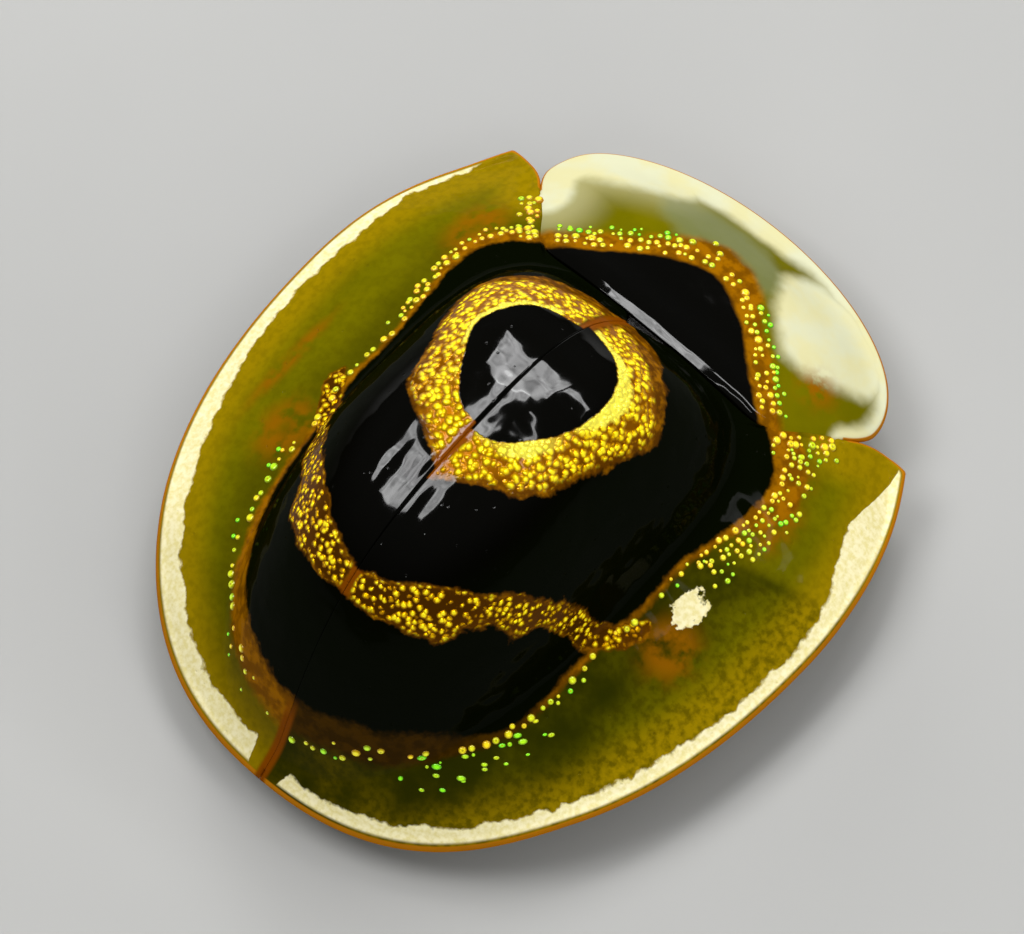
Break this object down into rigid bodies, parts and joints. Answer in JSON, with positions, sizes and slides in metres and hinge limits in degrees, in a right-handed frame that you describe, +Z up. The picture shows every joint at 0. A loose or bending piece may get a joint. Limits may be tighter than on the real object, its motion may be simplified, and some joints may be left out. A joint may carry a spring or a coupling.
{
  "type": "tortoise beetle",
  "caption": "Still, life-size tortoise beetle with a high round back, a broad flat shell margin, a broad neck shield and tucked legs and feelers.",
  "frame": {"origin": "centre of the bounding box's base, on the floor under the middle of the shell", "axes": "+Y to the rear tip of the wing cases, +X to the beetle's left, +Z up from the floor"},
  "size_m": [0.0076, 0.0088, 0.0043],
  "materials": {
    "black_shell": "polished black, with gold markings",
    "amber_shell": "clear olive amber, with pale edges",
    "body_skin": "dull dark brown",
    "limb_skin": "satin yellow brown",
    "eye_skin": "polished black"
  },
  "bodies": {
    "root": {"pronotum": "amber_shell", "scutellum": "black_shell", "prothorax": "body_skin", "thorax": "body_skin", "abdomen": "body_skin", "head": "limb_skin", "elytron_left": "black_shell", "eye_left": "eye_skin", "antenna_left": "limb_skin", "leg_fore_left": "limb_skin", "leg_middle_left": "limb_skin", "leg_hind_left": "limb_skin", "elytron_right": "black_shell", "eye_right": "eye_skin", "antenna_right": "limb_skin", "leg_fore_right": "limb_skin", "leg_middle_right": "limb_skin", "leg_hind_right": "limb_skin"}
  },
  "joints": []
}
